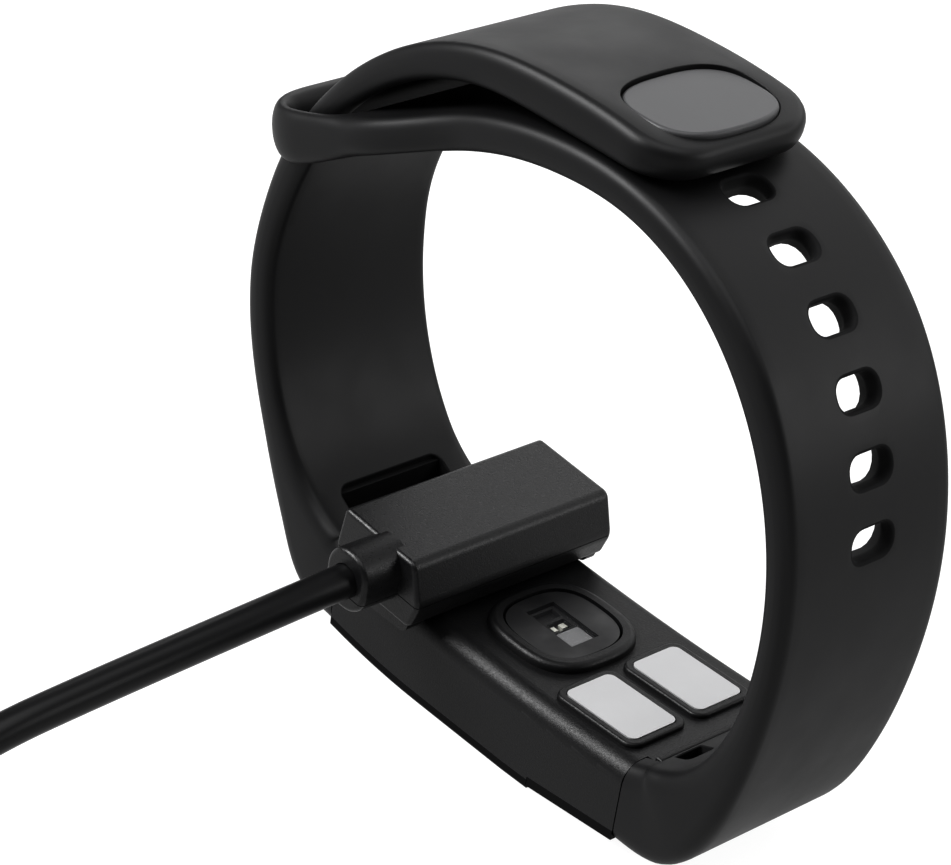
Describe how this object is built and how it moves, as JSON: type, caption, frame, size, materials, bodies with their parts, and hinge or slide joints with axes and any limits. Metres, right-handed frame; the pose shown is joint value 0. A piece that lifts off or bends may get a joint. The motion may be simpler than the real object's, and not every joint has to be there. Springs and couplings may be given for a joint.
{
  "type": "fitness tracker band",
  "caption": "Wrist activity band closed through its strap ring and peg, standing on its display, with a clip-on charger across the back and its cable coiled beside it.",
  "frame": {"origin": "on the display lens's flat stretch, which the band stands on, below the middle of the optical sensor", "axes": "+X along the module towards the strap with the slots, +Y the wrist's axis, +Z from the display into the loop"},
  "size_m": [0.0808, 0.1303, 0.06],
  "materials": {
    "strap": "matte silicone",
    "case": "fine spark texture",
    "lens": "polished",
    "key": "polished",
    "sensor_ring": "fine spark texture",
    "sensor_window": "satin smoked",
    "sensor_cover": "clear",
    "sensor_light": "clear resin",
    "photodiode": "satin",
    "electrode": "satin",
    "gold": "gold flash",
    "cap": "satin grey",
    "steel": "satin",
    "clip": "spark texture",
    "jacket": "satin",
    "plug": "fine texture",
    "white_plastic": "moulded",
    "board": "solder mask",
    "battery": "pouch foil",
    "panel": "glass",
    "magnet": "nickel",
    "film": "polyimide",
    "seal": "matte"
  },
  "bodies": {
    "band": {"rear_case": "case", "display_lens": "lens", "key_panel": "lens", "sensor_pedestal": "sensor_ring", "sensor_window": "sensor_window", "aperture_cover": "sensor_cover", "sensor_leds": "sensor_light", "photodiode": "photodiode", "sensor_barrier": "seal", "sensor_board": "board", "electrode_pad_near": "electrode", "electrode_pad_far": "electrode", "electrode_frames": "case", "charge_contacts": "gold", "display_panel": "panel", "display_seal": "seal", "battery": "battery", "main_board": "board", "board_shield": "steel", "key_switch": "steel", "keeper_plate": "steel", "display_flex": "film", "board_screws": "steel", "vibration_motor": "steel", "strap_bracket_left": "steel", "strap_bracket_right": "steel", "bar_sleeve_left": "steel", "bar_sleeve_right": "steel", "bar_spring_left": "steel", "bar_spring_right": "steel", "hole_strap": "strap", "peg_strap": "strap"},
    "tail": {"peg_strap_tail": "strap", "peg_cap": "cap", "peg_stud": "steel"},
    "home_key": {"home_key": "key"},
    "release_pin_left": {"release_pin_left": "steel"},
    "release_pin_right": {"release_pin_right": "steel"},
    "charger": {"clip_upper_shell": "clip", "clip_lower_shell": "clip", "clip_board": "board", "pin_block": "seal", "clip_magnets": "magnet", "cable_anchor": "seal", "cable_run": "jacket", "cable_coil": "jacket", "cable_tail": "jacket", "plug_body": "plug", "plug_shell": "steel", "plug_tongue": "white_plastic", "plug_contacts": "gold"},
    "contact_pins": {"contact_pins": "gold"}
  },
  "joints": [
    {"name": "tail_bend", "type": "hinge", "parent": "band", "child": "tail", "pos_m": [-0.011, 0, 0.0575], "axis": [0, -1, 0], "range_deg": [0, 35], "stiffness_Nm_per_rad": 0.01},
    {"name": "home_key_press", "type": "slide", "parent": "band", "child": "home_key", "axis": [0, 0, 1], "range_m": [0, 0.00025], "stiffness_N_per_m": 1500},
    {"name": "release_left", "type": "slide", "parent": "band", "child": "release_pin_left", "axis": [0, -1, 0], "range_m": [0, 0.0013], "stiffness_N_per_m": 400},
    {"name": "release_right", "type": "slide", "parent": "band", "child": "release_pin_right", "axis": [0, 1, 0], "range_m": [0, 0.0013], "stiffness_N_per_m": 400},
    {"name": "clip_lift", "type": "slide", "parent": "band", "child": "charger", "axis": [0, 0, 1], "range_m": [0, 0.012]},
    {"name": "contact_pins_press", "type": "slide", "parent": "charger", "child": "contact_pins", "axis": [0, 0, 1], "range_m": [0, 0.0005], "stiffness_N_per_m": 300}
  ]
}
